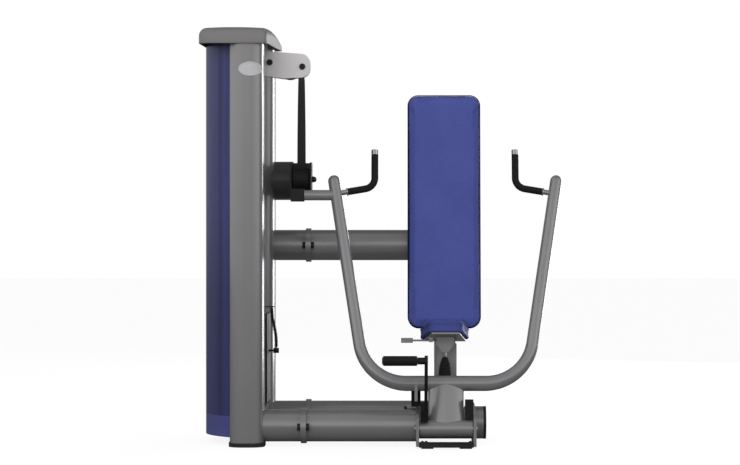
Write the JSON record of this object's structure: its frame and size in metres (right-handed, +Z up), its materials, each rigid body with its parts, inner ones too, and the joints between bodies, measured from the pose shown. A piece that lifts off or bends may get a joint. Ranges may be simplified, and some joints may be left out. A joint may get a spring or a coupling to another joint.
{
  "type": "chest press machine",
  "caption": "Seated chest press with a selectable weight stack in a shrouded tower, a belt drive and a low-hinged press arm with upright grips.",
  "frame": {"origin": "on the floor, at the centre of the machine's footprint box", "axes": "+X from the weight tower towards the seat, +Y from the user's front towards the back, +Z up"},
  "size_m": [1.5232, 0.984, 1.754],
  "materials": {
    "frame_paint": "satin",
    "dark_paint": "satin",
    "bracket_paint": "satin",
    "cap_shell": "satin",
    "shroud_tint": "gloss",
    "guard_tint": "satin",
    "black_plastic": "matte",
    "black_rubber": "matte",
    "belt_web": "matte",
    "stack_iron": "satin",
    "bright_steel": "polished",
    "black_steel": "satin",
    "blue_vinyl": "satin"
  },
  "bodies": {
    "frame": {"front_post": "frame_paint", "rear_post": "frame_paint", "post_feet": "black_plastic", "tower_base": "dark_paint", "top_frame": "frame_paint", "top_cap": "cap_shell", "weight_shroud": "shroud_tint", "rear_guard": "guard_tint", "guide_rods": "bright_steel", "stack_bumpers": "black_rubber", "resting_plates": "stack_iron", "pulley_bolts": "black_steel", "pulley_brackets": "bracket_paint", "stack_belt": "belt_web", "cross_belt": "belt_web", "arm_belt": "belt_web", "pulley_stub": "dark_paint", "pulley_block": "dark_paint", "lower_axle": "black_steel", "beam_stubs": "frame_paint", "mid_beam": "frame_paint", "front_beam": "frame_paint", "rear_beam": "frame_paint", "flange_bolts": "black_steel", "base_tube": "frame_paint", "tube_caps": "black_plastic", "side_plates": "frame_paint", "foot_crossbar": "frame_paint", "rubber_feet": "black_rubber", "pivot_axle": "bright_steel", "base_rail": "frame_paint", "back_upright": "frame_paint", "rest_buffer": "black_rubber", "limit_buffer": "black_rubber", "seat_column": "frame_paint", "gas_cylinder": "black_rubber", "back_board": "black_plastic", "back_pad": "blue_vinyl"},
    "stack": {"lifted_plates": "stack_iron", "head_plate": "stack_iron", "selector_stem": "bright_steel", "pin_cord": "black_rubber"},
    "pin": {"selector_pin": "black_steel"},
    "upper_left_pulley": {"top_pulley": "black_plastic"},
    "upper_right_pulley": {"bracket_pulley": "black_plastic"},
    "low_pulley": {"lower_pulley": "black_plastic"},
    "press_arm": {"pivot_bearings": "black_steel", "arm_column": "frame_paint", "press_bow": "frame_paint", "handle_bars": "bright_steel", "handle_grips": "black_rubber", "grip_ends": "bright_steel", "belt_arm": "frame_paint", "belt_clamp": "black_plastic", "foot_lever": "black_steel"},
    "roller": {"foot_roller": "black_rubber"},
    "seat": {"seat_frame": "frame_paint", "seat_cushion": "blue_vinyl", "gas_rod": "bright_steel"},
    "release": {"seat_release": "bright_steel"}
  },
  "joints": [
    {"name": "press_swing", "type": "hinge", "parent": "frame", "child": "press_arm", "pos_m": [0.26737, -0.28, 0.078], "axis": [1, 0, 0], "range_deg": [0, 30], "deforming": ["arm_belt"]},
    {"name": "stack_lift", "type": "slide", "parent": "frame", "child": "stack", "axis": [0, 0, 1], "range_m": [0, 0.53], "deforming": ["stack_belt"]},
    {"name": "top_pulley_spin", "type": "hinge", "parent": "frame", "child": "upper_left_pulley", "pos_m": [-0.54013, 0.1, 1.609], "axis": [0, 1, 0], "range_deg": [0, 640]},
    {"name": "bracket_pulley_spin", "type": "hinge", "parent": "frame", "child": "upper_right_pulley", "pos_m": [-0.39263, 0.1, 1.591], "axis": [0, 1, 0], "range_deg": [0, 640]},
    {"name": "lower_pulley_spin", "type": "hinge", "parent": "frame", "child": "low_pulley", "pos_m": [-0.34413, 0.0535, 1.1137], "axis": [1, 0, 0], "range_deg": [-680, 0]},
    {"name": "pin_pull", "type": "slide", "parent": "stack", "child": "pin", "axis": [1, 0, 0], "range_m": [0, 0.09], "deforming": ["pin_cord"]},
    {"name": "foot_roller_spin", "type": "hinge", "parent": "press_arm", "child": "roller", "pos_m": [0.07737, -0.47, 0.367], "axis": [1, 0, 0], "continuous": true},
    {"name": "seat_height", "type": "slide", "parent": "frame", "child": "seat", "axis": [0, 0, 1], "range_m": [0, 0.14]},
    {"name": "seat_release_lift", "type": "hinge", "parent": "seat", "child": "release", "pos_m": [0.20737, -0.08, 0.434], "axis": [0, 1, 0], "range_deg": [0, 8], "stiffness_Nm_per_rad": 1}
  ],
  "couplings": [
    {"joint": "stack_lift", "follows": "press_swing", "m_per_rad": 1.01},
    {"joint": "top_pulley_spin", "follows": "press_swing", "ratio": 20.7},
    {"joint": "bracket_pulley_spin", "follows": "press_swing", "ratio": 20.7},
    {"joint": "lower_pulley_spin", "follows": "press_swing", "ratio": -21.58}
  ]
}
